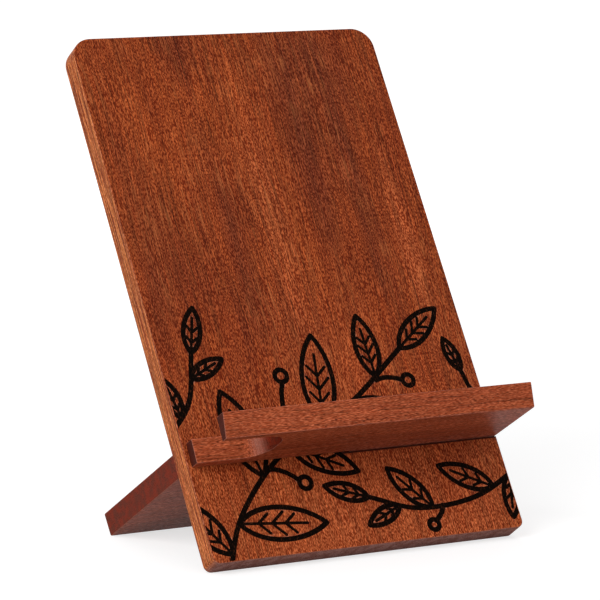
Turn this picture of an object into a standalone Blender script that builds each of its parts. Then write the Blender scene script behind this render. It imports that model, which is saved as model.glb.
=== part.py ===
"""Kalimba stand made of two slotted boards of the same 10 mm hardwood.

The back board holds the instrument's back and has a slot cut in from its right edge.
The support board passes through that slot: its front is the ledge that the instrument
stands on, and its rear is the leg that props the back board up. It has a matching slot
cut in from its left end, so the two boards halve over each other, without glue or screws,
and slide apart sideways for carrying.

Both slots are a little wider than the stock. The back board leans back on that play until
two opposite corners of each slot bear on the other board, which is where the stand rests.

World frame: +X is the stand's right, -Y its front and +Z up, in metres. The origin lies on
the table, in the middle of the stand's footprint.
"""

import math

import bmesh
import bpy
from mathutils import Matrix, Vector

MM = 0.001

# Stock, shared by both boards
STOCK_THICKNESS = 10.0 * MM
ARRIS_ROUND = 0.45 * MM         # sanded edges
ARRIS_SEGMENTS = 3
ARC_SEGMENTS = 12               # straight steps in a quarter round of an outline

# Back board
BOARD_WIDTH = 140.0 * MM
BOARD_HEIGHT = 230.0 * MM       # along the board, not upwards
TOP_CORNER_RADIUS = 9.0 * MM
BOTTOM_CORNER_RADIUS = 3.0 * MM

# Support board, whose front is the ledge and whose rear is the leg
SUPPORT_WIDTH = 138.5 * MM
LEDGE_REACH = 35.5 * MM         # ahead of the back board's face, at the ledge's top
LEDGE_UNDERCUT = 2.4 * MM       # the front edge slants back by this much towards its foot
LEG_REACH = 84.7 * MM           # behind the back board's face, at the leg's top
LEG_UNDERCUT = 1.2 * MM
FOOT_RADIUS = 0.8 * MM          # where the leg meets the table

# Notch in the ledge, open to the left
NOTCH_BACK = 5.3 * MM           # ahead of the back board's face
NOTCH_FRONT = 29.6 * MM
NOTCH_DEPTH = 29.3 * MM         # from the support's left end
NOTCH_CORNER_RADIUS = 9.5 * MM

# Cross lap
SLOT_FLOOR_HEIGHT = 39.7 * MM   # from the back board's foot to the lower side of its slot
SLOT_PLAY = 1.3 * MM            # slot width beyond the stock's thickness
SLOT_CORNER_RADIUS = 2.0 * MM   # left by the router bit
CONTACT_GAP = 0.3 * MM          # between the faces and corners that bear on each other

# Colours, linear RGB
BACK_COLOUR = (0.245, 0.048, 0.016, 1.0)
SUPPORT_COLOUR = (0.245, 0.055, 0.024, 1.0)
WOOD_ROUGHNESS = 0.48

CUT_MARGIN = 10.0 * MM          # how far cutters run past the faces that they open
ROUNDED_EDGE_ANGLE = math.radians(40.0)
FLAT_ANGLE = math.radians(0.1)
WELD_DISTANCE = 0.00001

# Rotations that stand an outline's plane in a board's frame
FACING_FRONT = (math.pi / 2, 0.0, 0.0)              # outline across X, up Z
FACING_SIDE = (math.pi / 2, 0.0, math.pi / 2)       # outline across Y, up Z
FACING_UP = (0.0, 0.0, 0.0)                         # outline across X, up Y

SLOT_WIDTH = STOCK_THICKNESS + SLOT_PLAY
BACK_SLOT_REACH = BOARD_WIDTH / 2 + SLOT_CORNER_RADIUS
BACK_SLOT_END = BOARD_WIDTH - BACK_SLOT_REACH
SUPPORT_LEFT = BOARD_WIDTH - SUPPORT_WIDTH
SUPPORT_SLOT_END = BACK_SLOT_END + 2 * SLOT_CORNER_RADIUS + CONTACT_GAP


def clear_scene():
    for obj in list(bpy.data.objects):
        bpy.data.objects.remove(obj, do_unlink=True)


def new_collection(name):
    collection = bpy.data.collections.new(name)
    bpy.context.scene.collection.children.link(collection)
    return collection


def wood(name, colour):
    """A Principled BSDF with the board's colour."""
    material = bpy.data.materials.new(name)
    material.use_nodes = True
    material.diffuse_color = colour
    shader = material.node_tree.nodes["Principled BSDF"]
    shader.inputs["Base Color"].default_value = colour
    shader.inputs["Roughness"].default_value = WOOD_ROUGHNESS
    shader.inputs["Metallic"].default_value = 0.0
    return material


def lap_tilt():
    """Angle by which the play lets one board tilt in the other's slot.

    A board of thickness t, tilted in a slot of width s through a wall of thickness t,
    fills it when s cos(a) - t sin(a) = t + 2 gaps.
    """
    reach = math.hypot(SLOT_WIDTH, STOCK_THICKNESS)
    filled = STOCK_THICKNESS + 2 * CONTACT_GAP
    return math.acos(filled / reach) - math.atan2(STOCK_THICKNESS, SLOT_WIDTH)


def ledge_root_height(tilt):
    """Height, up the back board's face, at which the support's underside crosses it."""
    return SLOT_FLOOR_HEIGHT + CONTACT_GAP / math.cos(tilt)


def foot_centre():
    """Centre of the leg's rounded foot in the support board's own frame, as (y, z)."""
    corner = LEG_REACH - LEG_UNDERCUT
    corner_angle = math.pi / 2 + math.atan(LEG_UNDERCUT / STOCK_THICKNESS)
    return corner - FOOT_RADIUS / math.tan(corner_angle / 2), FOOT_RADIUS


def standing_lean(tilt):
    """Angle at which the back board leans when its rear foot edge and the leg stand level."""
    board_y = STOCK_THICKNESS - ARRIS_ROUND
    board_z = ARRIS_ROUND
    y, z = foot_centre()
    leg_y = y * math.cos(tilt) - z * math.sin(tilt)
    leg_z = y * math.sin(tilt) + z * math.cos(tilt) + ledge_root_height(tilt)
    span_y = leg_y - board_y
    span_z = leg_z - board_z
    rounding = math.asin((FOOT_RADIUS - ARRIS_ROUND) / math.hypot(span_y, span_z))
    return math.atan2(span_z, span_y) - rounding


def rounded_corner(before, corner, after, radius):
    """Points of the arc that rounds a corner of an outline, or the corner itself."""
    if radius == 0:
        return [corner]
    to_before = (before - corner).normalized()
    to_after = (after - corner).normalized()
    half_angle = to_before.angle(to_after) / 2
    start = corner + to_before * radius / math.tan(half_angle)
    end = corner + to_after * radius / math.tan(half_angle)
    centre = corner + (to_before + to_after).normalized() * radius / math.sin(half_angle)
    sweep = (end - centre).angle_signed(start - centre)
    return [
        centre + Matrix.Rotation(sweep * i / ARC_SEGMENTS, 2) @ (start - centre)
        for i in range(ARC_SEGMENTS + 1)
    ]


def outline_points(corners):
    """Outline from (across, up, radius) corners in order, each rounded by its radius."""
    places = [Vector((across, up)) for across, up, radius in corners]
    points = []
    for i, (across, up, radius) in enumerate(corners):
        after = places[(i + 1) % len(places)]
        points += rounded_corner(places[i - 1], places[i], after, radius)
    return points


def extruded(name, corners, thickness, rotation, location, frame, collection):
    """A mesh object: a flat outline given thickness, half on each side of its plane.

    It is placed in, and moves with, the frame that it is parented to.
    """
    curve = bpy.data.curves.new(name + "_outline", "CURVE")
    curve.dimensions = "2D"
    curve.fill_mode = "BOTH"
    curve.extrude = thickness / 2
    points = outline_points(corners)
    spline = curve.splines.new("POLY")
    spline.points.add(len(points) - 1)
    for spot, point in zip(spline.points, points):
        spot.co = (point.x, point.y, 0.0, 1.0)
    spline.use_cyclic_u = True
    guide = bpy.data.objects.new(name + "_outline", curve)
    guide.parent = frame
    guide.location = location
    guide.rotation_euler = rotation
    collection.objects.link(guide)
    bpy.context.view_layer.update()

    evaluated = guide.evaluated_get(bpy.context.evaluated_depsgraph_get())
    mesh = bpy.data.meshes.new_from_object(evaluated)
    mesh.name = name
    flat_capped = bmesh.new()
    flat_capped.from_mesh(mesh)
    bmesh.ops.remove_doubles(flat_capped, verts=flat_capped.verts, dist=WELD_DISTANCE)
    bmesh.ops.dissolve_limit(
        flat_capped, angle_limit=FLAT_ANGLE, verts=flat_capped.verts, edges=flat_capped.edges
    )
    flat_capped.to_mesh(mesh)
    flat_capped.free()

    obj = bpy.data.objects.new(name, mesh)
    obj.parent = frame
    obj.matrix_world = guide.matrix_world
    collection.objects.link(obj)
    bpy.data.objects.remove(guide, do_unlink=True)
    return obj


def frame_empty(name, location, rotation, parent, collection):
    """An empty whose frame a board is drawn in."""
    frame = bpy.data.objects.new(name, None)
    frame.empty_display_size = STOCK_THICKNESS
    frame.parent = parent
    frame.location = location
    frame.rotation_euler = rotation
    collection.objects.link(frame)
    return frame


def cut(target, cutter, name):
    """Subtracts a cutter, which is left out of the build."""
    cutter.hide_render = True
    cutter.display_type = "WIRE"
    boolean = target.modifiers.new(name, "BOOLEAN")
    boolean.operation = "DIFFERENCE"
    boolean.solver = "EXACT"
    boolean.object = cutter


def round_arrises(target):
    """Rounds every edge that the board has so far. Slots cut after it keep sharp edges."""
    bevel = target.modifiers.new("sanded_edges", "BEVEL")
    bevel.width = ARRIS_ROUND
    bevel.segments = ARRIS_SEGMENTS
    bevel.limit_method = "ANGLE"
    bevel.angle_limit = ROUNDED_EDGE_ANGLE


def make_back_board(frame, parts, cutters):
    """In its frame the board's foot runs along X, its face is y = 0 and it rises along Z."""
    board = extruded(
        "back_board",
        [
            (0.0, 0.0, BOTTOM_CORNER_RADIUS),
            (BOARD_WIDTH, 0.0, BOTTOM_CORNER_RADIUS),
            (BOARD_WIDTH, BOARD_HEIGHT, TOP_CORNER_RADIUS),
            (0.0, BOARD_HEIGHT, TOP_CORNER_RADIUS),
        ],
        STOCK_THICKNESS,
        FACING_FRONT,
        (0.0, STOCK_THICKNESS / 2, 0.0),
        frame,
        parts,
    )
    board.data.materials.append(wood("back_board_wood", BACK_COLOUR))
    round_arrises(board)

    past_right = BOARD_WIDTH + CUT_MARGIN
    slot_top = SLOT_FLOOR_HEIGHT + SLOT_WIDTH
    slot = extruded(
        "back_slot_cutter",
        [
            (BACK_SLOT_END, SLOT_FLOOR_HEIGHT, SLOT_CORNER_RADIUS),
            (past_right, SLOT_FLOOR_HEIGHT, 0.0),
            (past_right, slot_top, 0.0),
            (BACK_SLOT_END, slot_top, SLOT_CORNER_RADIUS),
        ],
        STOCK_THICKNESS + 2 * CUT_MARGIN,
        FACING_FRONT,
        (0.0, STOCK_THICKNESS / 2, 0.0),
        frame,
        cutters,
    )
    cut(board, slot, "slot_from_the_right")
    return board


def make_support_board(frame, parts, cutters, tilt):
    """In its frame the board's underside is z = 0, and crosses the back board's face at y = 0.

    The ledge runs to -Y and the leg to +Y. The board slides along the frame's X axis.
    """
    board = extruded(
        "support_board",
        [
            (-LEDGE_REACH + LEDGE_UNDERCUT, 0.0, 0.0),
            (LEG_REACH - LEG_UNDERCUT, 0.0, FOOT_RADIUS),
            (LEG_REACH, STOCK_THICKNESS, 0.0),
            (-LEDGE_REACH, STOCK_THICKNESS, 0.0),
        ],
        SUPPORT_WIDTH,
        FACING_SIDE,
        (SUPPORT_LEFT + SUPPORT_WIDTH / 2, 0.0, 0.0),
        frame,
        parts,
    )
    board.data.materials.append(wood("support_board_wood", SUPPORT_COLOUR))

    past_left = SUPPORT_LEFT - CUT_MARGIN
    notch_end = SUPPORT_LEFT + NOTCH_DEPTH
    notch = extruded(
        "ledge_notch_cutter",
        [
            (past_left, -NOTCH_FRONT, 0.0),
            (notch_end, -NOTCH_FRONT, NOTCH_CORNER_RADIUS),
            (notch_end, -NOTCH_BACK, NOTCH_CORNER_RADIUS),
            (past_left, -NOTCH_BACK, 0.0),
        ],
        STOCK_THICKNESS + 2 * CUT_MARGIN,
        FACING_UP,
        (0.0, 0.0, STOCK_THICKNESS / 2),
        frame,
        cutters,
    )
    cut(board, notch, "notch_from_the_left")
    round_arrises(board)

    slot_front = -CONTACT_GAP / math.cos(tilt)
    slot_back = slot_front + SLOT_WIDTH
    slot = extruded(
        "support_slot_cutter",
        [
            (past_left, slot_front, 0.0),
            (SUPPORT_SLOT_END, slot_front, SLOT_CORNER_RADIUS),
            (SUPPORT_SLOT_END, slot_back, SLOT_CORNER_RADIUS),
            (past_left, slot_back, 0.0),
        ],
        STOCK_THICKNESS + 2 * CUT_MARGIN,
        FACING_UP,
        (0.0, 0.0, STOCK_THICKNESS / 2),
        frame,
        cutters,
    )
    cut(board, slot, "slot_from_the_left")
    return board


def smooth_rounds(board):
    """Smooth shading on the rounded edges, with the flat faces kept crisp."""
    board.data.shade_smooth()
    board.data.set_sharp_from_angle(angle=ROUNDED_EDGE_ANGLE)


def stand_on_table(stand, boards):
    """Moves the stand so that it rests on z = 0, centred over the origin."""
    bpy.context.view_layer.update()
    graph = bpy.context.evaluated_depsgraph_get()
    places = []
    for board in boards:
        evaluated = board.evaluated_get(graph)
        places += [evaluated.matrix_world @ vertex.co for vertex in evaluated.data.vertices]
    low = Vector([min(place[i] for place in places) for i in range(3)])
    high = Vector([max(place[i] for place in places) for i in range(3)])
    middle = (low + high) / 2
    stand.location = (-middle.x, -middle.y, -low.z)
    bpy.context.view_layer.update()


def main():
    clear_scene()
    parts = new_collection("kalimba_stand")
    cutters = new_collection("kalimba_stand_cutters")

    tilt = lap_tilt()
    leaning = (-standing_lean(tilt), 0.0, 0.0)
    stand = frame_empty("back_board_frame", (0.0, 0.0, 0.0), leaning, None, parts)
    root = (0.0, 0.0, ledge_root_height(tilt))
    slide = frame_empty("support_slide_frame", root, (tilt, 0.0, 0.0), stand, parts)

    back_board = make_back_board(stand, parts, cutters)
    support_board = make_support_board(slide, parts, cutters, tilt)
    for board in (back_board, support_board):
        smooth_rounds(board)
    stand_on_table(stand, (back_board, support_board))


main()
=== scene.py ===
"""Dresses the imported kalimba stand: procedural hardwood, burnt line work and a pale studio.

The stand is two boards of the same reddish hardwood. The back board's face carries a
burnt line design of leafy sprigs, cut a little into the wood. Places on a board, the line
design and the sizes of the grain are in the board's own millimetres. All else is in metres,
apart from the camera's lens and sensor, which are in millimetres too.
"""

import math
from collections import namedtuple

import bmesh
import bpy
from mathutils import Matrix, Vector
from mathutils.geometry import delaunay_2d_cdt, intersect_point_line


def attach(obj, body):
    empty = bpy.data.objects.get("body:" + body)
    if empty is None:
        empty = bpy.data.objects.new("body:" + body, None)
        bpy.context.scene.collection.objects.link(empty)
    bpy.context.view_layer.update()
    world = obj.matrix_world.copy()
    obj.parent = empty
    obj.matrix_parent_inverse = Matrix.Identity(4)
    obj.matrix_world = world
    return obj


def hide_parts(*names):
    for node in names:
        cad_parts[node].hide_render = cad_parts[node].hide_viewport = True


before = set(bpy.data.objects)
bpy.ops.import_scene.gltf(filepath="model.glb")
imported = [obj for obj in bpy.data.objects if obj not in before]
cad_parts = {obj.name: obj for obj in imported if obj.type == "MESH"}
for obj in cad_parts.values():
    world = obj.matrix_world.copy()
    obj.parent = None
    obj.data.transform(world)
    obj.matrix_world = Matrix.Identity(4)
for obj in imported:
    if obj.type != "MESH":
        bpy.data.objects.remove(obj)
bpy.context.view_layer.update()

bl_info = {
    "name": "Kalimba Stand",
    "version": (1, 0, 0),
    "blender": (4, 5, 0),
    "location": "View3D > Sidebar > Kalimba Stand",
    "description": "Dresses a two-board kalimba stand in oiled hardwood with burnt line work",
    "category": "Object",
}

MM = 0.001

BACK_BOARD = "back_board"
SUPPORT_BOARD = "support_board"

# Camera, solved from the straight edges of both boards
CAMERA_PLACE = Vector((-0.65486, -1.195408, 0.270484))
CAMERA_RIGHT = Vector((0.87562764, -0.48284838, -0.01156611))
CAMERA_UP = Vector((0.07165563, 0.10618828, 0.99176085))
CAMERA_LENS = 204.292
CAMERA_SENSOR = 36.0
CAMERA_CLIP_END = 60.0

# Lamps: azimuth and elevation in degrees, and distance and size in metres. Azimuth 0 is the
# front, and 90 the stand's right
KEY_LAMP = (-60.0, 32.0, 2.2, 1.3)
FILL_LAMP = (38.0, 12.0, 2.6, 1.6)
BACK_LAMP = (165.0, 38.0, 2.6, 1.6)
LAMP_AIM = Vector((0.0, 0.0, 0.1))

# Floor
FLOOR_SIDES = 96
FLOOR_DROP = 0.02 * MM          # below the stand's feet
FLOOR_MOTTLE_SIZE = (1.0, 1.0, 1.0)
FLOOR_MOTTLE_RANGE = (0.2, 0.8)
FLOOR_MOTTLE_LEAST = 0.97
FLOOR_WHITENS_FROM = 0.25       # distances from the stand's middle
FLOOR_WHITENS_TO = 1.2

# Bowed lines: the share of its length at which one stands out most. Its first control point
# lies at a share of that, its second one further on, and both stand out by shares of its bow
BELLY = 0.42
FIRST_PULL_BACK = 0.62
FIRST_PULL_OUT = 1.32
SECOND_PULL_ON = 0.34
SECOND_PULL_OUT = 0.95

# Leaves, as shares of a leaf's length
LEAF_PLUMPNESS = 0.21           # how far its sides bow out
LEAF_STEPS = 12
MIDRIB_REACH = 0.78
VEINS_FROM = 0.22
VEINS_SPAN = 0.46
VEIN_TURN = math.radians(42)
VEIN_REACH = 0.92               # share of the sides' bow
LONGEST_VEIN = 0.36             # where along the leaf the veins reach that far
VEINS_SHORTEN = 1.1             # how fast they get shorter away from there
VEIN_LINE = 0.6                 # a vein's line as a share of the full line width

# Stems, stalks and berries
STEM_STEPS = 8
STALK_STEPS = 5
STALK_BOW = 0.12
BERRY_SIDES = 16
LINE_END_STEPS = 6

# Cutting the lines into the face
WELD_DISTANCE = 0.01 * MM
FLAT_ANGLE = math.radians(0.5)
SQUARELY = 0.99                 # cosine from which a face counts as facing one way
INSIDE_LOOPS = 1                # asks for triangles inside the loops alone
CUT_TOLERANCE = 0.005           # points nearer to each other than this become one
ON_OUTLINE = 0.002              # a point nearer to the face's outline than this lies on it
SHARE_SLACK = 0.001             # how far past a side's ends a point beside it may lie
LINING_CLEARANCE = 0.01         # between the burnt lining and its groove

# Rounded edges
ROUND_ANGLE = math.radians(40.0)
FLAT_FACE_WEIGHT = 100

# A feature of the wood: its size across the board, through it and along the grain, the
# detail of its noise, and the values of the noise between which it comes in
Feature = namedtuple("Feature", "size detail low high")

SMOKY_BANDS = Feature((13.0, 30.0, 170.0), 3.0, 0.46, 0.74)
BAND_EDGES = Feature((1.6, 3.0, 34.0), 2.0, 0.3, 0.6)
LONG_LINES = Feature((0.5, 1.0, 42.0), 0.0, 0.3, 0.38)
THREADS = Feature((0.34, 0.5, 11.0), 0.0, 0.56, 0.72)
THREAD_PATCHES = Feature((16.0, 20.0, 60.0), 2.0, 0.35, 0.65)
EDGE_LINES = Feature((0.8, 0.6, 30.0), 2.0, 0.4, 0.57)
END_PATCHES = Feature((3.6, 3.6, 3.6), 3.0, 0.4, 0.6)
END_FLECKS = Feature((0.6, 0.6, 0.6), 1.0, 0.46, 0.3)
CHAR_SPECKS = Feature((0.3, 0.3, 1.1), 1.0, 0.6, 0.74)

# Features that mix with others or have settings of their own
WANDER_SIZE = (55.0, 55.0, 130.0)
WANDER_THROUGH = 0.35           # how far the grain strays through the board for each step across
RIBBON_SIZE = (3.0, 6.0, 55.0)
RIBBON_SHARE = 0.55
CLOUD_SIZE = (24.0, 24.0, 70.0)
CLOUD_SHARE = 0.45
TONE_RANGE = (0.36, 0.64)
LINE_SIZE = (0.4, 0.8, 22.0)
PORE_WIDTH = 0.24
PORE_RANGE = (0.6, 0.7)
CRUST_SIZE = (0.35, 0.35, 0.6)

# How strong the parts of the wood's look are
SMOKE_LIMIT = 0.45
SMOKE_RAGGEDNESS = 0.55
BAND_EDGE_LEAST = 0.65
LONG_LINE_SHADE = 0.65
FLECK_CURVE = 2.2               # above 1, the dark flecks take up more room than the pale ones
EDGE_FLECKS = 0.35
# How much of the flecks shows in the painted arris highlight
HIGHLIGHT_FLECKS = 0.5
END_FLECK_DARKNESS = 0.75
SPECK_STRENGTH = 0.8
GLOSS_RANGE = (0.3, 0.7)
END_GRAIN_ROUGHER = 0.15
WOOD_RELIEF = 0.03 * MM
CRUST_RANGE = (0.3, 0.7)
CRUST_RAGGEDNESS = 0.65
CHAR_SMOOTHEST = 0.6
CHAR_ROUGHEST = 0.85
CHAR_SHEEN = 0.01
CHAR_RELIEF = 0.05 * MM

# How squarely a surface faces one way, where each kind of it begins and is full
END_FACING = (0.35, 1.0)
EDGE_FACING = (0.5, 0.95)
ARRIS_FACING = (0.99, 0.7)

# Streaks on the back board: across, up, half width, half length, and darkness, below 0 where pale
STREAKS = (
    (96.0, 190.0, 18.0, 85.0, 0.85),
    (91.0, 150.0, 9.0, 55.0, 0.45),
    (112.0, 160.0, 8.0, 95.0, 0.7),
    (119.0, 208.0, 8.0, 45.0, 0.75),
    (106.0, 222.0, 12.0, 26.0, 0.5),
    (49.0, 135.0, 6.5, 72.0, 0.85),
    (46.0, 226.0, 14.0, 26.0, 0.7),
    (12.0, 132.0, 16.0, 72.0, 0.65),
    # Painted light: this wide pale streak lightens the face below the ledge, where the ledge's
    # shade falls
    (70.0, 0.0, 150.0, 130.0, -0.8),
    (67.0, 145.0, 12.0, 85.0, -0.5),
    (127.0, 128.0, 8.0, 62.0, -0.8),
)
STREAK_CORE = 0.1               # how much of a streak has its full darkness
RIGHT_THROUGH = 1000.0          # reach that takes a streak through the whole board

# Painted shade, in boxes: each has its middle and half size, and how dark the end grain and the
# other wood are painted in it. They are the shade in the back board's slot with its rims, and on
# the ledge's left ends
PaintedShadeBox = namedtuple("PaintedShadeBox", "middle reach end_darkness darkness")

SLOT_PAINTED_SHADE = PaintedShadeBox((104.0, 0.0, 45.35), (36.0, 200.0, 6.05), 1.0, 1.0)
LEDGE_END_PAINTED_SHADE = PaintedShadeBox((15.0, 0.0, 0.0), (24.0, 200.0, 3.0), 0.85, 0.0)
BOX_FADE = 1.08                 # the box's half sizes times this are where it has faded out


# Objects, meshes and board frames

def new_object(name, data):
    """An object in the scene."""
    made = bpy.data.objects.new(name, data)
    bpy.context.scene.collection.objects.link(made)
    return made


def mesh_from(shape, name):
    """Turns a bmesh into a mesh, and frees it."""
    mesh = bpy.data.meshes.new(name)
    shape.to_mesh(mesh)
    shape.free()
    return mesh


class BoardFrame:
    """A board's own axes: across it, through its thickness, and along its grain.

    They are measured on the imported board, whose broad faces are its largest polygons.
    """

    def __init__(self, node, grain_runs_across_the_stand):
        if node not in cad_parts:
            raise RuntimeError(f"the packed model has no board named {node}")
        self.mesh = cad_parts[node].data
        broad = max(self.mesh.polygons, key=lambda polygon: polygon.area).normal.copy()
        sideways = Vector((1.0, 0.0, 0.0))
        if grain_runs_across_the_stand:
            self.depth = broad if broad.z > 0 else -broad
            self.grain = sideways
        else:
            self.depth = broad if broad.y > 0 else -broad
            self.grain = sideways.cross(self.depth)
        self.across = self.depth.cross(self.grain)
        axes = (self.across, self.depth, self.grain)
        low = [min(axis.dot(vertex.co) for vertex in self.mesh.vertices) for axis in axes]
        self.origin = sum((axis * least for axis, least in zip(axes, low)), Vector())
        self.rotation = Matrix(axes).transposed()

    def flat_faced_shape(self):
        """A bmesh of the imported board, with each flat face as one polygon."""
        shape = bmesh.new()
        shape.from_mesh(self.mesh)
        bmesh.ops.remove_doubles(shape, verts=shape.verts, dist=WELD_DISTANCE)
        bmesh.ops.dissolve_limit(
            shape, angle_limit=FLAT_ANGLE, verts=shape.verts, edges=shape.edges
        )
        shape.normal_update()
        return shape

    def to_world(self):
        """Turns the board's millimetres into the frame's metres."""
        return Matrix.Translation(self.origin) @ self.rotation.to_4x4() @ Matrix.Scale(MM, 4)


# Line design, on the back board's face: across from its left edge, up from its foot

def smooth_path(points, steps):
    """Points of a smooth curve through the given ones."""
    places = [Vector(point) for point in points]
    ends = [2 * places[0] - places[1]] + places + [2 * places[-1] - places[-2]]
    path = []
    for a, b, c, d in zip(ends, ends[1:], ends[2:], ends[3:]):
        for i in range(steps):
            t = i / steps
            path.append(0.5 * (
                2 * b + (c - a) * t + (2 * a - 5 * b + 4 * c - d) * t ** 2
                + (3 * b - a - 3 * c + d) * t ** 3
            ))
    path.append(places[-1])
    return path


def bowed(start, end, bow, steps):
    """Points of an arc from start to end that stands out sideways by about bow."""
    along = end - start
    out = Vector((-along.y, along.x)).normalized() * bow
    first = start + along * BELLY * FIRST_PULL_BACK + out * FIRST_PULL_OUT
    second = start + along * (BELLY + SECOND_PULL_ON) + out * SECOND_PULL_OUT
    points = []
    for i in range(steps + 1):
        t = i / steps
        s = 1 - t
        points.append(
            start * s ** 3 + first * 3 * s ** 2 * t + second * 3 * s * t ** 2 + end * t ** 3
        )
    return points


def leaf(base, way, length, veins):
    """A pointed leaf: two bowed sides, and thinner lines for its midrib and veins."""
    tip = base + way * length
    bow = length * LEAF_PLUMPNESS
    bold = [bowed(base, tip, bow, LEAF_STEPS), bowed(base, tip, -bow, LEAF_STEPS)]
    thin = [[base, base + way * length * MIDRIB_REACH]]
    for i in range(veins):
        share = VEINS_FROM + VEINS_SPAN * i / veins
        start = base + way * length * share
        reach = bow * (VEIN_REACH - VEINS_SHORTEN * abs(share - LONGEST_VEIN))
        for side in (-1, 1):
            turned = Matrix.Rotation(side * VEIN_TURN, 2) @ way
            thin.append([start, start + turned * reach])
    return [(points, 1.0) for points in bold] + [(points, VEIN_LINE) for points in thin]


def berry_stalk(start, end, radius):
    """A short bowed stalk that ends at a ring, which is two half rings."""
    start, end = Vector(start), Vector(end)
    centre = end + (end - start).normalized() * radius
    ring = [
        centre + Matrix.Rotation(math.tau * i / BERRY_SIDES, 2) @ Vector((radius, 0.0))
        for i in range(BERRY_SIDES + 1)
    ]
    half = BERRY_SIDES // 2
    stalk = bowed(start, end, (end - start).length * STALK_BOW, STALK_STEPS)
    return [(stalk, 1.0), (ring[:half + 1], 1.0), (ring[half:], 1.0)]


def sprig(stem, leaves, tip_length, veins):
    """A stem with a leaf at its tip, and others at a share, turn in degrees and length."""
    path = smooth_path(stem, STEM_STEPS)
    lines = [(path, 1.0)]
    for share, turn, length in leaves:
        at = min(int(share * (len(path) - 1)), len(path) - 2)
        along = (path[at + 1] - path[at]).normalized()
        way = Matrix.Rotation(math.radians(turn), 2) @ along
        lines += leaf(path[at], way, length, veins)
    end = (path[-1] - path[-2]).normalized()
    return lines + leaf(path[-1], end, tip_length, veins)


def design_lines():
    """Every line of the design, as its points and its share of the full line width."""
    long_branch = sprig(
        [(5, -6), (17, 18), (42, 42), (78, 60), (108, 82)],
        [(0.12, 58, 30), (0.24, -60, 38), (0.42, 62, 38), (0.55, -54, 30),
         (0.66, 58, 38), (0.78, -52, 33), (0.9, 54, 27)],
        27, 3,
    )
    low_branch = sprig(
        [(147, 26), (122, 15), (95, 13), (74, 20)],
        [(0.12, 50, 19), (0.24, -50, 25), (0.6, -48, 24), (0.8, 44, 17)],
        19, 2,
    )
    side_sprig = sprig([(-6, 52), (8, 67), (15, 88)], [(0.35, 54, 17), (0.78, -50, 17)], 20, 2)
    edge_sprig = sprig([(147, 50), (136, 60), (133, 70)], [(0.4, 46, 17)], 15, 2)
    berries = (
        berry_stalk((50, 48), (51, 72), 2.7)
        + berry_stalk((93, 69), (105, 68), 2.5)
        + berry_stalk((34, 36), (46, 30), 2.6)
        + berry_stalk((106, 13), (101, 7), 2.2)
    )
    return long_branch + low_branch + side_sprig + edge_sprig + berries


# Cutting the lines into the face

def line_end(place, way, half):
    """Points of a band's round end, between its two corners there."""
    side = Vector((-way.y, way.x))
    points = []
    for i in range(1, LINE_END_STEPS):
        angle = math.pi * i / LINE_END_STEPS
        points.append(place + (side * math.cos(angle) + way * math.sin(angle)) * half)
    return points


def band(points, width):
    """The outline of a round-ended band of the given width along a line, anticlockwise."""
    half = width / 2
    before = [points[0]] + points[:-1]
    after = points[1:] + [points[-1]]
    left, right = [], []
    for place, last, following in zip(points, before, after):
        along = (following - last).normalized()
        out = Vector((-along.y, along.x)) * half
        left.append(place + out)
        right.append(place - out)
    start_way = (points[0] - points[1]).normalized()
    end_way = (points[-1] - points[-2]).normalized()
    outline = left + line_end(points[-1], end_way, half) + right[::-1]
    return (outline + line_end(points[0], start_way, half))[::-1]


def cut_up(outline, width, inset):
    """Cuts the board's face up along the lines, each narrower by the inset.

    Gives the points, the triangles of bare wood and the triangles of the lines.
    """
    points = list(outline)
    loops = [list(range(len(points)))]
    for line, share in design_lines():
        edge = band(line, width * share - inset)
        loops.append(list(range(len(points), len(points) + len(edge))))
        points += edge
    points, _, triangles, _, _, owners = delaunay_2d_cdt(
        points, [], loops, INSIDE_LOOPS, CUT_TOLERANCE)
    on_face = [(corners, owner) for corners, owner in zip(triangles, owners) if 0 in owner]
    bare = [corners for corners, owner in on_face if len(owner) == 1]
    drawn = [corners for corners, owner in on_face if len(owner) > 1]
    return points, bare, drawn


def corners_of(shapes):
    """The number of every point that the triangles or edges have."""
    return {index for shape in shapes for index in shape}


def rim(triangles):
    """The edges that only one of the triangles has."""
    edges = {(t[i], t[(i + 1) % 3]) for t in triangles for i in range(3)}
    return [(a, b) for a, b in edges if (b, a) not in edges]


def front_face(shape, board):
    """The board's broad front face, and its outline in the board's millimetres."""
    facing = [face for face in shape.faces if face.normal.dot(board.depth) < -SQUARELY]
    face = max(facing, key=lambda one: one.calc_area())
    to_board = board.to_world().inverted()
    return face, [(to_board @ vertex.co).xz for vertex in face.verts]


def nearest_side(point, outline):
    """The outline's side nearest to a point: its distance, number and share along it."""
    sides = []
    for i, start in enumerate(outline):
        end = outline[(i + 1) % len(outline)]
        place, share = intersect_point_line(point, start, end)
        if -SHARE_SLACK < share < 1.0 + SHARE_SLACK:
            sides.append(((place.xy - point).length, i, share))
    return min(sides)


def split_rim(shape, corners, outline, points):
    """Adds the points that lie on the face's outline to it, and gives each one's vertex."""
    placed = {}
    on_sides = {}
    for index, point in enumerate(points):
        distance, side, share = nearest_side(point, outline)
        if distance < ON_OUTLINE:
            on_sides.setdefault(side, []).append((share, index))
    for side, found in on_sides.items():
        following = (side + 1) % len(corners)
        last = corners[side]
        used = 0.0
        for share, index in sorted(found):
            if (points[index] - outline[side]).length < ON_OUTLINE:
                placed[index] = corners[side]
            elif (points[index] - outline[following]).length < ON_OUTLINE:
                placed[index] = corners[following]
            else:
                edge = shape.edges.get((last, corners[following]))
                _, last = bmesh.utils.edge_split(edge, last, (share - used) / (1.0 - used))
                placed[index] = last
                used = share
    return placed


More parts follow.
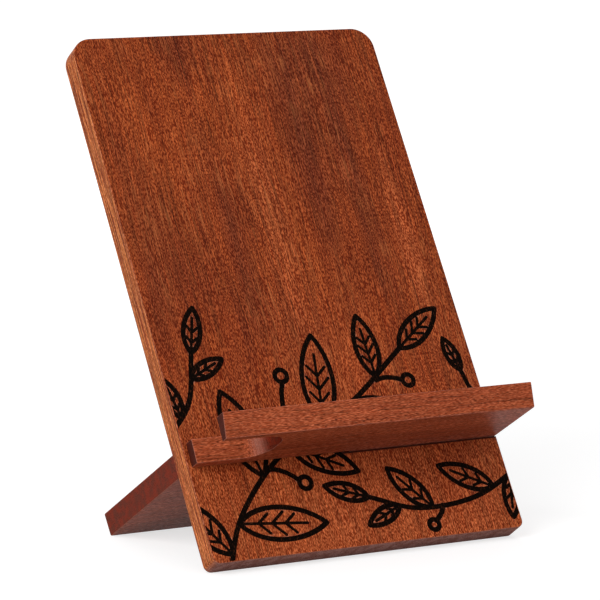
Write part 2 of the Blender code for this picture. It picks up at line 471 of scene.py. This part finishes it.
def engrave(piece, board, width, depth):
    """Sinks the design's lines into the board's front face."""
    shape = bmesh.new()
    shape.from_mesh(piece.data)
    face, outline = front_face(shape, board)
    points, bare, drawn = cut_up(outline, width, 0.0)
    placed = split_rim(shape, list(face.verts), outline, points)
    bmesh.ops.delete(shape, geom=[face], context="FACES_ONLY")
    to_world = board.to_world()
    walls = rim(drawn)
    for index in corners_of(bare + walls):
        if index not in placed:
            x, z = points[index]
            placed[index] = shape.verts.new(to_world @ Vector((x, 0.0, z)))
    sunk = {
        index: shape.verts.new(to_world @ Vector((points[index].x, depth, points[index].y)))
        for index in corners_of(drawn)
    }
    for triangle in bare:
        shape.faces.new([placed[index] for index in triangle])
    for triangle in drawn:
        shape.faces.new([sunk[index] for index in triangle])
    for a, b in walls:
        shape.faces.new((placed[a], placed[b], sunk[b], sunk[a]))
    bmesh.ops.recalc_face_normals(shape, faces=shape.faces)
    shape.to_mesh(piece.data)
    shape.free()


def line_lining(name, board, width, low, high):
    """A piece that lines the grooves between two depths, just clear of their walls."""
    plain = board.flat_faced_shape()
    _, outline = front_face(plain, board)
    plain.free()
    points, _, drawn = cut_up(outline, width, 2 * LINING_CLEARANCE)
    shape = bmesh.new()
    rings = ({}, {})
    for index in corners_of(drawn):
        point = points[index]
        distance, side, _ = nearest_side(point, outline)
        if distance < ON_OUTLINE:
            along = (outline[(side + 1) % len(outline)] - outline[side]).normalized()
            point = point + Vector((-along.y, along.x)) * LINING_CLEARANCE
        for ring, depth in zip(rings, (low, high)):
            ring[index] = shape.verts.new(board.to_world() @ Vector((point.x, depth, point.y)))
    for triangle in drawn:
        for ring in rings:
            shape.faces.new([ring[index] for index in triangle])
    for a, b in rim(drawn):
        shape.faces.new((rings[0][a], rings[0][b], rings[1][b], rings[1][a]))
    bmesh.ops.recalc_face_normals(shape, faces=shape.faces)
    return new_object(name, mesh_from(shape, name))


def smooth_rounds(piece):
    """Smooth shading on the sanded edges, with the flat faces kept flat."""
    piece.data.shade_smooth()
    piece.data.set_sharp_from_angle(angle=ROUND_ANGLE)
    weighted = piece.modifiers.new("flat_faces_stay_flat", "WEIGHTED_NORMAL")
    weighted.mode = "FACE_AREA"
    weighted.weight = FLAT_FACE_WEIGHT
    weighted.keep_sharp = True


# Nodes

class NodeBench:
    """Adds the nodes of a material or world, and joins them up."""

    def __init__(self, owner):
        owner.use_nodes = True
        self.owner = owner
        self.tree = owner.node_tree
        self.tree.nodes.clear()

    def node(self, kind, **settings):
        """A new node with its settings."""
        made = self.tree.nodes.new(kind)
        for setting, value in settings.items():
            setattr(made, setting, value)
        return made

    def feed(self, socket, value):
        """Joins a socket to another, or sets its value."""
        if isinstance(value, bpy.types.NodeSocket):
            self.tree.links.new(value, socket)
        else:
            socket.default_value = value

    def math(self, operation, *values, clamp=False):
        """The result of a sum on numbers."""
        made = self.node("ShaderNodeMath", operation=operation, use_clamp=clamp)
        for socket, value in zip(made.inputs, values):
            self.feed(socket, value)
        return made.outputs[0]

    def vector_math(self, operation, *values):
        """The node of a sum on vectors."""
        made = self.node("ShaderNodeVectorMath", operation=operation)
        for socket, value in zip(made.inputs, values):
            self.feed(socket, value)
        return made

    def scaled(self, vector, factor):
        """The vector times a number."""
        made = self.vector_math("SCALE", vector)
        self.feed(made.inputs["Scale"], factor)
        return made.outputs["Vector"]

    def stretched(self, vector, size):
        """The vector in units of a feature's size across, through and along the grain."""
        shares = [1 / length for length in size]
        return self.vector_math("MULTIPLY", vector, shares).outputs["Vector"]

    def along(self, vector, way):
        """How far a vector goes in one direction."""
        return self.vector_math("DOT_PRODUCT", vector, way).outputs["Value"]

    def noise(self, vector, size, detail=2.0, roughness=0.5):
        """A noise whose features have the given size."""
        made = self.node("ShaderNodeTexNoise")
        self.feed(made.inputs["Vector"], self.stretched(vector, size))
        made.inputs["Scale"].default_value = 1.0
        made.inputs["Detail"].default_value = detail
        made.inputs["Roughness"].default_value = roughness
        made.inputs["Distortion"].default_value = 0.0
        return made.outputs["Fac"]

    def remap(self, value, low, high, to_low=0.0, to_high=1.0):
        """Takes the values from low to high to those from to_low to to_high, with soft ends."""
        made = self.node("ShaderNodeMapRange", interpolation_type="SMOOTHSTEP")
        for name, given in (("Value", value), ("From Min", low), ("From Max", high),
                            ("To Min", to_low), ("To Max", to_high)):
            self.feed(made.inputs[name], given)
        return made.outputs["Result"]

    def feature(self, vector, feature, least=0.0, most=1.0, roughness=0.5):
        """Where a feature of the wood is: most of it inside, and least outside."""
        noise = self.noise(vector, feature.size, feature.detail, roughness)
        return self.remap(noise, feature.low, feature.high, least, most)

    def around_one(self, noise, contrast):
        """Turns a noise into a factor that lies around 1, and never goes below 0."""
        centred = self.math("SUBTRACT", noise, 0.5)
        return self.math("MAXIMUM", self.math("MULTIPLY_ADD", centred, contrast, 1.0), 0.0)

    def mix(self, factor, first, second, blend="MIX"):
        """A colour between two others."""
        made = self.node("ShaderNodeMix", data_type="RGBA", blend_type=blend)
        self.feed(made.inputs["Factor"], factor)
        self.feed(made.inputs["A"], first)
        self.feed(made.inputs["B"], second)
        return made.outputs["Result"]

    def shader(self, colour, roughness, specular, height, bump_distance):
        """Finishes the material with a surface that has relief."""
        bump = self.node("ShaderNodeBump")
        bump.inputs["Distance"].default_value = bump_distance
        self.feed(bump.inputs["Height"], height)
        surface = self.node("ShaderNodeBsdfPrincipled")
        self.feed(surface.inputs["Base Color"], colour)
        self.feed(surface.inputs["Roughness"], roughness)
        self.feed(surface.inputs["Normal"], bump.outputs["Normal"])
        surface.inputs["Specular IOR Level"].default_value = specular
        output = self.node("ShaderNodeOutputMaterial")
        self.feed(output.inputs["Surface"], surface.outputs["BSDF"])
        return self.owner


def opaque(colour):
    """A setting's colour with full alpha."""
    return (colour[0], colour[1], colour[2], 1.0)


def seen_directly(bench):
    """1 for what the camera sees, also by way of a reflection or through glass, else 0."""
    path = bench.node("ShaderNodeLightPath")
    either = bench.math(
        "MAXIMUM", path.outputs["Is Camera Ray"], path.outputs["Is Glossy Ray"]
    )
    return bench.math("MAXIMUM", either, path.outputs["Is Transmission Ray"])


# Wood

def grain_coordinates(bench, board):
    """The surface point in the board's own millimetres, with the grain along Z."""
    place = bench.node("ShaderNodeTexCoord")
    mapping = bench.node("ShaderNodeMapping", vector_type="TEXTURE")
    bench.feed(mapping.inputs["Vector"], place.outputs["Object"])
    mapping.inputs["Location"].default_value = board.origin
    mapping.inputs["Rotation"].default_value = board.rotation.to_euler()
    mapping.inputs["Scale"].default_value = (MM, MM, MM)
    return mapping.outputs["Vector"]


def wandering_grain(bench, vector, wander):
    """Bends the straight grain slowly from side to side."""
    slow = bench.noise(vector, WANDER_SIZE, detail=1.0)
    sway = bench.math("MULTIPLY", bench.math("SUBTRACT", slow, 0.5), wander)
    shift = bench.node("ShaderNodeCombineXYZ")
    bench.feed(shift.inputs["X"], sway)
    bench.feed(shift.inputs["Y"], bench.math("MULTIPLY", sway, WANDER_THROUGH))
    return bench.vector_math("ADD", vector, shift.outputs["Vector"]).outputs["Vector"]


def soft_streak(bench, vector, across, up, half_width, half_length):
    """1 along the middle of a long streak, and 0 from its outline outward."""
    centred = bench.vector_math("SUBTRACT", vector, (across, 0.0, up)).outputs["Vector"]
    reach = bench.stretched(centred, (half_width, RIGHT_THROUGH, half_length))
    length = bench.vector_math("LENGTH", reach).outputs["Value"]
    return bench.remap(length, 1.0, STREAK_CORE)


def inside_box(bench, vector, box):
    """1 inside a box, and 0 outside it."""
    centred = bench.vector_math("SUBTRACT", vector, box.middle).outputs["Vector"]
    distance = bench.vector_math("ABSOLUTE", bench.stretched(centred, box.reach))
    parts = bench.node("ShaderNodeSeparateXYZ")
    bench.feed(parts.inputs["Vector"], distance.outputs["Vector"])
    x, y, z = parts.outputs
    furthest = bench.math("MAXIMUM", bench.math("MAXIMUM", x, y), z)
    return bench.remap(furthest, BOX_FADE, 1.0)


def smoke_along(bench, bent, straight, streaks):
    """How dark the wood is along its grain: above 0 in the smoky bands, below it in pale ones, and
    in the wide pale streak at the back board's foot, which is painted light.
    """
    smoke_and_light = bench.feature(bent, SMOKY_BANDS, 0.0, SMOKE_LIMIT, SMOKE_RAGGEDNESS)
    for across, up, half_width, half_length, darkness in streaks:
        streak = soft_streak(bench, straight, across, up, half_width, half_length)
        smoke_and_light = bench.math("MULTIPLY_ADD", streak, darkness, smoke_and_light)
    return bench.math("MULTIPLY", smoke_and_light, bench.feature(bent, BAND_EDGES, BAND_EDGE_LEAST))


def banded_colour(bench, bent, wood, smoke_and_light):
    """Ribbons and clouds of lighter and darker wood, under the smoky and pale bands, some of the
    paleness painted light.
    """
    ribbons = bench.noise(bent, RIBBON_SIZE, detail=2.0)
    clouds = bench.noise(bent, CLOUD_SIZE, detail=1.0)
    tone = bench.math("ADD", bench.math("MULTIPLY", ribbons, RIBBON_SHARE),
                      bench.math("MULTIPLY", clouds, CLOUD_SHARE))
    colour = bench.mix(
        bench.remap(tone, *TONE_RANGE), opaque(wood.dark_wood), opaque(wood.light_wood))
    smoky = bench.math("MULTIPLY", smoke_and_light, wood.smoke_strength, clamp=True)
    colour = bench.mix(smoky, colour, opaque(wood.smoke_colour))
    pale_and_lit = bench.math("MULTIPLY", smoke_and_light, -1.0, clamp=True)
    return bench.mix(pale_and_lit, colour, opaque(wood.pale_and_lit_colour))


def fleck_noise(bench, bent, wood):
    """The noise behind the short flecks."""
    width = wood.fleck_width / MM
    return bench.noise(bent, (width, width, wood.fleck_length / MM), detail=0.0)


def fleck_tint(bench, flecks, wood):
    """The factor by which the flecks change the colour."""
    mask = bench.remap(flecks, 0.5 - wood.fleck_reach, 0.5 + wood.fleck_reach)
    return bench.mix(
        bench.math("POWER", mask, FLECK_CURVE), opaque(wood.dark_fleck), opaque(wood.pale_fleck))


def line_shade(bench, bent, wood):
    """The factor for the fine lines of the grain, and the few long dark ones."""
    fine = bench.around_one(bench.noise(bent, LINE_SIZE, detail=1.0), wood.line_strength)
    return bench.math("MULTIPLY", fine, bench.feature(bent, LONG_LINES, LONG_LINE_SHADE))


def golden_threads(bench, bent, wood):
    """How golden the wood is: thin threads, in patches."""
    threads = bench.feature(bent, THREADS, 0.0, wood.thread_strength)
    return bench.math("MULTIPLY", threads, bench.feature(bent, THREAD_PATCHES))


def open_pores(bench, bent, wood):
    """How dark the short open pores are."""
    pores = bench.noise(bent, (PORE_WIDTH, PORE_WIDTH, wood.pore_length / MM), detail=0.0)
    return bench.remap(pores, *PORE_RANGE, 0.0, wood.pore_strength)


def kinds_of_surface(bench, board):
    """How far the surface is end grain, a long edge, and a rounded arris, where a highlight is
    painted.
    """
    normal = bench.node("ShaderNodeTexCoord").outputs["Normal"]
    end, edge, face = (
        bench.math("ABSOLUTE", bench.along(normal, way))
        for way in (board.grain, board.across, board.depth)
    )
    squarest = bench.math("MAXIMUM", face, bench.math("MAXIMUM", end, edge))
    return (
        bench.remap(end, *END_FACING),
        bench.remap(edge, *EDGE_FACING),
        bench.remap(squarest, *ARRIS_FACING),
    )


def pale_lit_edge(bench, bent, wood, tint):
    """The paler streaky colour of the long edges: partly their own tone, partly painted light, as
    on a side that faces the key lamp.
    """
    colour = bench.mix(
        bench.feature(bent, EDGE_LINES), opaque(wood.dark_wood), opaque(wood.pale_lit_edge_colour))
    return bench.mix(EDGE_FLECKS, colour, tint, "MULTIPLY")


def sawn_end(bench, straight, wood, darkness):
    """The patchy colour of the end grain, partly a painted reflection on the back board, painted
    darker towards the pore colour by the painted shade that darkness gives.
    """
    pore_and_shade_colour = opaque(wood.pore_and_shade_colour)
    colour = bench.mix(
        bench.feature(straight, END_PATCHES), opaque(wood.end_colour_and_reflection), opaque(wood.end_patches_and_reflection))
    flecks = bench.feature(straight, END_FLECKS, 0.0, END_FLECK_DARKNESS)
    return bench.mix(darkness, bench.mix(flecks, colour, pore_and_shade_colour), pore_and_shade_colour)


def hardwood(name, board, wood, shade_box, streaks=()):
    """Fine reddish hardwood: smoky bands, ribbon grain, flecks and pores, oiled satin, and painted
    light: a highlight on the arrises, paler lit long edges and shade in a box.
    """
    bench = NodeBench(bpy.data.materials.new(name))
    straight = grain_coordinates(bench, board)
    bent = wandering_grain(bench, straight, wood.grain_wander / MM)
    end_grain, edge_grain, arris = kinds_of_surface(bench, board)
    painted_shade = inside_box(bench, straight, shade_box)
    flecks = fleck_noise(bench, bent, wood)
    tint = fleck_tint(bench, flecks, wood)
    pores = open_pores(bench, bent, wood)
    pore_and_shade_colour = opaque(wood.pore_and_shade_colour)

    smoke_and_light = smoke_along(bench, bent, straight, streaks)
    colour = bench.mix(1.0, banded_colour(bench, bent, wood, smoke_and_light), tint, "MULTIPLY")
    colour = bench.mix(golden_threads(bench, bent, wood), colour, opaque(wood.thread_colour))
    # Paler long edges: partly their own tone, partly painted light
    paler_and_lit = bench.math("MULTIPLY", edge_grain, wood.edge_paleness_and_light)
    colour = bench.mix(paler_and_lit, colour, pale_lit_edge(bench, bent, wood, tint))
    colour = bench.scaled(
        bench.mix(pores, colour, pore_and_shade_colour), line_shade(bench, bent, wood))

    # Painted shade in the box: the end grain, then the other wood, go dark towards the pore colour
    end_darkness = bench.math("MULTIPLY", painted_shade, shade_box.end_darkness)
    colour = bench.mix(end_grain, colour, sawn_end(bench, straight, wood, end_darkness))
    # Painted highlight on the rounded arrises, with some of the flecks in it
    arris_highlight_colour = bench.mix(HIGHLIGHT_FLECKS, opaque(wood.arris_highlight_colour), tint, "MULTIPLY")
    colour = bench.mix(bench.math("MULTIPLY", arris, wood.arris_highlight_strength), colour, arris_highlight_colour)
    # Painted shade over all the wood in the box
    colour = bench.mix(
        bench.math("MULTIPLY", painted_shade, shade_box.darkness), colour, pore_and_shade_colour)

    gloss = bench.remap(flecks, *GLOSS_RANGE, wood.gloss_high, wood.gloss_low)
    roughness = bench.math("ADD", gloss, bench.math("MULTIPLY", end_grain, END_GRAIN_ROUGHER))
    relief = bench.math("SUBTRACT", flecks, pores)
    return bench.shader(colour, roughness, wood.sheen, relief, WOOD_RELIEF)


def charred_wood(name, board, lines):
    """The burnt lines: black char with faint brown specks where the wood shows through."""
    bench = NodeBench(bpy.data.materials.new(name))
    vector = grain_coordinates(bench, board)
    crust = bench.noise(vector, CRUST_SIZE, detail=3.0, roughness=CRUST_RAGGEDNESS)
    specks = bench.feature(vector, CHAR_SPECKS, 0.0, SPECK_STRENGTH)
    colour = bench.mix(crust, opaque(lines.char_colour), opaque(lines.ash_colour))
    colour = bench.mix(specks, colour, opaque(lines.speck_colour))
    roughness = bench.remap(crust, *CRUST_RANGE, CHAR_SMOOTHEST, CHAR_ROUGHEST)
    return bench.shader(colour, roughness, CHAR_SHEEN, crust, CHAR_RELIEF)


def dress(piece, material):
    """Gives a piece one material in place of what it had."""
    piece.data.materials.clear()
    piece.data.materials.append(material)


# Stage

def pale_floor(name, stage):
    """Pale floor that keeps a soft shadow near the stand, and shows as white further out."""
    bench = NodeBench(bpy.data.materials.new(name))
    place = bench.node("ShaderNodeTexCoord").outputs["Object"]
    mottle = bench.noise(place, FLOOR_MOTTLE_SIZE, detail=1.0)
    matte = bench.node("ShaderNodeBsdfDiffuse")
    brightness = bench.remap(mottle, *FLOOR_MOTTLE_RANGE, FLOOR_MOTTLE_LEAST, 1.0)
    bench.feed(matte.inputs["Color"], bench.scaled(stage.floor_colour, brightness))
    distance = bench.vector_math("LENGTH", place).outputs["Value"]
    lift = bench.remap(
        distance, FLOOR_WHITENS_FROM, FLOOR_WHITENS_TO, stage.floor_lift, stage.far_lift)
    glow = bench.node("ShaderNodeEmission")
    bench.feed(glow.inputs["Strength"], bench.math("MULTIPLY", seen_directly(bench), lift))
    both = bench.node("ShaderNodeAddShader")
    bench.feed(both.inputs[0], matte.outputs["BSDF"])
    bench.feed(both.inputs[1], glow.outputs["Emission"])
    output = bench.node("ShaderNodeOutputMaterial")
    bench.feed(output.inputs["Surface"], both.outputs["Shader"])
    return bench.owner


def make_floor(stage):
    """A round floor just below the stand's feet."""
    shape = bmesh.new()
    bmesh.ops.create_circle(
        shape, cap_ends=True, radius=stage.floor_radius, segments=FLOOR_SIDES)
    floor = new_object("floor", mesh_from(shape, "floor"))
    dress(floor, pale_floor("pale_floor", stage))
    floor.location.z = -FLOOR_DROP


def make_lamp(name, placement, power):
    """A square soft lamp aimed at the stand."""
    azimuth, elevation, distance, size = placement
    data = bpy.data.lights.new(name, "AREA")
    data.shape = "SQUARE"
    data.size = size
    data.energy = power
    turn, rise = math.radians(azimuth), math.radians(elevation)
    way = Vector((
        math.sin(turn) * math.cos(rise), -math.cos(turn) * math.cos(rise), math.sin(rise)
    ))
    lamp = new_object(name, data)
    lamp.location = LAMP_AIM + way * distance
    lamp.rotation_euler = way.to_track_quat("Z", "Y").to_euler()


def light_the_world(stage):
    """Plain white surroundings: full strength where seen, weaker as a light."""
    world = bpy.context.scene.world or bpy.data.worlds.new("studio")
    bpy.context.scene.world = world
    bench = NodeBench(world)
    background = bench.node("ShaderNodeBackground")
    strength = bench.remap(seen_directly(bench), 0.0, 1.0, stage.ambient_strength, 1.0)
    bench.feed(background.inputs["Strength"], strength)
    output = bench.node("ShaderNodeOutputWorld")
    bench.feed(output.inputs["Surface"], background.outputs["Background"])


def make_camera():
    """The camera at the photograph's angle."""
    data = bpy.data.cameras.new("camera")
    data.lens = CAMERA_LENS
    data.sensor_width = CAMERA_SENSOR
    data.clip_end = CAMERA_CLIP_END
    camera = new_object("camera", data)
    axes = (CAMERA_RIGHT, CAMERA_UP, CAMERA_RIGHT.cross(CAMERA_UP))
    turned = Matrix(axes).transposed().to_4x4()
    camera.matrix_world = Matrix.Translation(CAMERA_PLACE) @ turned
    bpy.context.scene.camera = camera


# Settings

def colour_property(name, description, default):
    return bpy.props.FloatVectorProperty(
        name=name, description=description, default=default, size=3, min=0.0, max=1.0,
        subtype="COLOR")


def tint_property(name, description, default):
    return bpy.props.FloatVectorProperty(
        name=name, description=description, default=default, size=3, min=0.0, max=4.0)


def factor_property(name, description, default):
    return bpy.props.FloatProperty(
        name=name, description=description, default=default, min=0.0, max=1.0, subtype="FACTOR")


def strength_property(name, description, default):
    return bpy.props.FloatProperty(
        name=name, description=description, default=default, min=0.0, max=10.0)


def length_property(name, description, default, least, most):
    return bpy.props.FloatProperty(
        name=name, description=description, default=default, min=least, max=most, unit="LENGTH")


def power_property(name, description, default):
    return bpy.props.FloatProperty(
        name=name, description=description, default=default, min=0.0, max=200.0, unit="POWER")


class WoodSettings:
    """Colours and finish that both boards have."""

    smoke_colour: colour_property(
        "Smoke", "Colour of the dark bands along the board", (0.115, 0.017, 0.006))
    # Also the colour of the painted light in the wide pale streak at the back board's foot
    pale_and_lit_colour: colour_property(
        "Pale Bands", "Colour of the pale bands along the board", (0.400, 0.068, 0.017))
    # Also the colour of the painted shade in the shade boxes
    pore_and_shade_colour: colour_property(
        "Pores", "Colour of the fine open pores", (0.045, 0.007, 0.003))
    thread_colour: colour_property(
        "Threads", "Colour of the fine golden threads", (0.620, 0.190, 0.060))
    dark_fleck: tint_property(
        "Dark Flecks", "Factor for the colour in the dark flecks", (0.62, 0.48, 0.38))
    pale_fleck: tint_property(
        "Pale Flecks", "Factor for the colour in the pale flecks", (1.95, 2.85, 3.7))
    # Partly painted light: the long edges are painted paler, as where the key lamp falls on them
    pale_lit_edge_colour: colour_property(
        "Sanded Wood", "Colour of the paler long edges", (0.800, 0.235, 0.062))
    smoke_strength: factor_property(
        "Smoke Strength", "How much the dark bands show", 0.75)
    grain_wander: length_property(
        "Grain Wander", "How far the grain strays sideways", 9.0 * MM, 0.0, 40.0 * MM)


class KalimbaStandBackWood(WoodSettings, bpy.types.PropertyGroup):
    """The back board's wood, with strong short flecks, a paler edge that is partly painted light,
    and greyish ends whose grey is a painted reflection of the pale floor.
    """

    light_wood: colour_property(
        "Light Wood", "Colour of the paler ribbons of grain", (0.284, 0.041, 0.0078))
    dark_wood: colour_property(
        "Dark Wood", "Colour of the deeper ribbons of grain", (0.212, 0.028, 0.006))
    # Partly painted reflection: the grey stands for the pale floor seen in the board's foot at a
    # glancing angle
    end_colour_and_reflection: colour_property(
        "End Grain", "Colour of the end grain", (0.440, 0.200, 0.165))
    end_patches_and_reflection: colour_property(
        "End Patches", "Colour of the other patches of the end grain", (0.300, 0.110, 0.080))
    # Painted highlight: the colour of the light that the rounded arrises catch
    arris_highlight_colour: colour_property(
        "Arrises", "Colour of the sanded arrises", (0.520, 0.170, 0.090))
    arris_highlight_strength: factor_property(
        "Arris Paleness", "How much of that colour the arrises have", 0.5)
    # Partly painted light: how much paler and lighter the long edges are painted
    edge_paleness_and_light: factor_property(
        "Edge Paleness", "How much paler the long edges are than the faces", 0.6)
    fleck_reach: strength_property(
        "Fleck Softness", "Less of it gives flecks of more contrast", 0.12)
    fleck_width: length_property(
        "Fleck Width", "Width of a fleck", 0.27 * MM, 0.05 * MM, 5.0 * MM)
    fleck_length: length_property(
        "Fleck Length", "Length of a fleck along the grain", 1.15 * MM, 0.1 * MM, 20.0 * MM)
    thread_strength: factor_property(
        "Thread Strength", "How much the golden threads show", 0.42)
    line_strength: strength_property(
        "Line Contrast", "Contrast of the long fine lines of the grain", 1.6)
    pore_strength: factor_property("Pore Strength", "How dark the open pores are", 0.15)
    pore_length: length_property(
        "Pore Length", "Length of a pore along the grain", 4.0 * MM, 0.1 * MM, 40.0 * MM)
    sheen: factor_property("Sheen", "Strength of the oiled wood's reflections", 0.08)
    gloss_low: factor_property(
        "Smoothest", "Roughness of the oiled wood at its smoothest", 0.45)
    gloss_high: factor_property(
        "Roughest", "Roughness of the oiled wood at its roughest", 0.65)


class KalimbaStandSupportWood(WoodSettings, bpy.types.PropertyGroup):
    """The support board's wood, with faint flecks, dark short pores and dark red ends."""

    light_wood: colour_property(
        "Light Wood", "Colour of the paler ribbons of grain", (0.475, 0.088, 0.030))
    dark_wood: colour_property(
        "Dark Wood", "Colour of the deeper ribbons of grain", (0.415, 0.072, 0.024))
    end_colour_and_reflection: colour_property(
        "End Grain", "Colour of the end grain", (0.215, 0.026, 0.010))
    end_patches_and_reflection: colour_property(
        "End Patches", "Colour of the other patches of the end grain", (0.135, 0.026, 0.013))
    # Painted highlight: the colour of the light that the rounded arrises catch
    arris_highlight_colour: colour_property(
        "Arrises", "Colour of the sanded arrises", (0.620, 0.250, 0.175))
    arris_highlight_strength: factor_property(
        "Arris Paleness", "How much of that colour the arrises have", 0.35)
    # Partly painted light: how much paler and lighter the long edges are painted
    edge_paleness_and_light: factor_property(
        "Edge Paleness", "How much paler the long edges are than the faces", 0.05)
    fleck_reach: strength_property(
        "Fleck Softness", "Less of it gives flecks of more contrast", 0.55)
    fleck_width: length_property(
        "Fleck Width", "Width of a fleck", 0.23 * MM, 0.05 * MM, 5.0 * MM)
    fleck_length: length_property(
        "Fleck Length", "Length of a fleck along the grain", 1.6 * MM, 0.1 * MM, 20.0 * MM)
    thread_strength: factor_property(
        "Thread Strength", "How much the golden threads show", 0.1)
    line_strength: strength_property(
        "Line Contrast", "Contrast of the long fine lines of the grain", 0.9)
    pore_strength: factor_property("Pore Strength", "How dark the open pores are", 0.7)
    pore_length: length_property(
        "Pore Length", "Length of a pore along the grain", 1.7 * MM, 0.1 * MM, 40.0 * MM)
    sheen: factor_property("Sheen", "Strength of the oiled wood's reflections", 0.05)
    gloss_low: factor_property(
        "Smoothest", "Roughness of the oiled wood at its smoothest", 0.36)
    gloss_high: factor_property(
        "Roughest", "Roughness of the oiled wood at its roughest", 0.52)


class KalimbaStandLines(bpy.types.PropertyGroup):
    """Size and colours of the burnt line design."""

    line_width: length_property(
        "Line Width", "Width of a burnt line", 2.2 * MM, 0.5 * MM, 5.0 * MM)
    groove_depth: length_property(
        "Groove Depth", "Depth to which a line is burnt into the face",
        0.4 * MM, 0.2 * MM, 1.5 * MM)
    char_drop: length_property(
        "Char Drop", "How far the char lies below the face", 0.1 * MM, 0.02 * MM, 1.4 * MM)
    char_colour: colour_property("Char", "Colour of the burnt lines", (0.002, 0.0015, 0.001))
    ash_colour: colour_property("Ash", "Colour of the duller char", (0.007, 0.004, 0.003))
    speck_colour: colour_property(
        "Specks", "Colour of the wood that shows through", (0.070, 0.020, 0.008))


class KalimbaStandStage(bpy.types.PropertyGroup):
    """Floor and light of the studio."""

    floor_colour: colour_property("Floor", "Colour of the pale floor", (0.50, 0.50, 0.50))
    floor_radius: length_property("Floor Radius", "Radius of the round floor", 14.0, 1.0, 100.0)
    floor_lift: factor_property(
        "Floor Lift", "White added near the stand to the floor where it is seen", 0.69)
    far_lift: factor_property(
        "Far Lift", "White added to the far floor where it is seen", 0.9)
    ambient_strength: strength_property(
        "Ambient Strength", "Strength of the surroundings as a light", 0.5)
    key_power: power_property(
        "Key Power", "Power of the main lamp, at the front left", 30.0)
    fill_power: power_property(
        "Fill Power", "Power of the lamp at the front right", 6.0)
    back_power: power_property(
        "Back Power", "Power of the lamp behind the stand", 12.0)


# Operators

class KALIMBA_OT_back_board(bpy.types.Operator):
    """Makes the back board, with the line design cut into its face"""

    bl_idname = "kalimba.back_board"
    bl_label = "Back Board"

    def execute(self, context):
        lines = context.scene.kalimba_lines
        board = BoardFrame(BACK_BOARD, grain_runs_across_the_stand=False)
        mesh = mesh_from(board.flat_faced_shape(), "engraved_back_board")
        piece = new_object("engraved_back_board", mesh)
        engrave(piece, board, lines.line_width / MM, lines.groove_depth / MM)
        smooth_rounds(piece)
        wood = context.scene.kalimba_back_wood
        dress(piece, hardwood("back_board_hardwood", board, wood, SLOT_PAINTED_SHADE, STREAKS))
        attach(piece, BACK_BOARD)
        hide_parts(BACK_BOARD)
        return {"FINISHED"}


class KALIMBA_OT_burnt_lines(bpy.types.Operator):
    """Lines the grooves of the design with char"""

    bl_idname = "kalimba.burnt_lines"
    bl_label = "Burnt Lines"

    def execute(self, context):
        lines = context.scene.kalimba_lines
        board = BoardFrame(BACK_BOARD, grain_runs_across_the_stand=False)
        piece = line_lining(
            "burnt_line_lining", board, lines.line_width / MM,
            lines.groove_depth / MM - LINING_CLEARANCE, lines.char_drop / MM)
        dress(piece, charred_wood("burnt_line_char", board, lines))
        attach(piece, BACK_BOARD)
        return {"FINISHED"}


class KALIMBA_OT_support_board(bpy.types.Operator):
    """Gives the support board, which is the ledge and the leg, its wood"""

    bl_idname = "kalimba.support_board"
    bl_label = "Support Board"

    def execute(self, context):
        board = BoardFrame(SUPPORT_BOARD, grain_runs_across_the_stand=True)
        wood = context.scene.kalimba_support_wood
        material = hardwood("support_board_hardwood", board, wood, LEDGE_END_PAINTED_SHADE)
        dress(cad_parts[SUPPORT_BOARD], material)
        return {"FINISHED"}


class KALIMBA_OT_stage(bpy.types.Operator):
    """Sets up the pale floor, the soft lamps and the camera"""

    bl_idname = "kalimba.stage"
    bl_label = "Stage"

    def execute(self, context):
        stage = context.scene.kalimba_stage
        make_floor(stage)
        light_the_world(stage)
        make_lamp("key_lamp", KEY_LAMP, stage.key_power)
        make_lamp("fill_lamp", FILL_LAMP, stage.fill_power)
        make_lamp("back_lamp", BACK_LAMP, stage.back_power)
        make_camera()
        return {"FINISHED"}


class KALIMBA_PT_stand(bpy.types.Panel):
    """Lists the stand's settings and the steps that dress it"""

    bl_idname = "KALIMBA_PT_stand"
    bl_label = "Kalimba Stand"
    bl_space_type = "VIEW_3D"
    bl_region_type = "UI"
    bl_category = "Kalimba Stand"

    def draw(self, context):
        scene = context.scene
        for settings, operator in (
            (scene.kalimba_back_wood, KALIMBA_OT_back_board),
            (scene.kalimba_lines, KALIMBA_OT_burnt_lines),
            (scene.kalimba_support_wood, KALIMBA_OT_support_board),
            (scene.kalimba_stage, KALIMBA_OT_stage),
        ):
            box = self.layout.box()
            box.label(text=operator.bl_label)
            for name in settings.bl_rna.properties.keys():
                if name not in {"rna_type", "name"}:
                    box.prop(settings, name)
            box.operator(operator.bl_idname)


CLASSES = (
    KalimbaStandBackWood,
    KalimbaStandSupportWood,
    KalimbaStandLines,
    KalimbaStandStage,
    KALIMBA_OT_back_board,
    KALIMBA_OT_burnt_lines,
    KALIMBA_OT_support_board,
    KALIMBA_OT_stage,
    KALIMBA_PT_stand,
)


def register():
    for cls in CLASSES:
        bpy.utils.register_class(cls)
    scene = bpy.types.Scene
    scene.kalimba_back_wood = bpy.props.PointerProperty(type=KalimbaStandBackWood)
    scene.kalimba_support_wood = bpy.props.PointerProperty(type=KalimbaStandSupportWood)
    scene.kalimba_lines = bpy.props.PointerProperty(type=KalimbaStandLines)
    scene.kalimba_stage = bpy.props.PointerProperty(type=KalimbaStandStage)


def unregister():
    scene = bpy.types.Scene
    del scene.kalimba_stage
    del scene.kalimba_lines
    del scene.kalimba_support_wood
    del scene.kalimba_back_wood
    for cls in reversed(CLASSES):
        bpy.utils.unregister_class(cls)


def main():
    """Dresses the stand."""
    register()
    bpy.context.scene.view_settings.view_transform = "Standard"
    bpy.ops.kalimba.stage()
    bpy.ops.kalimba.back_board()
    bpy.ops.kalimba.burnt_lines()
    bpy.ops.kalimba.support_board()


if __name__ == "__main__":
    main()
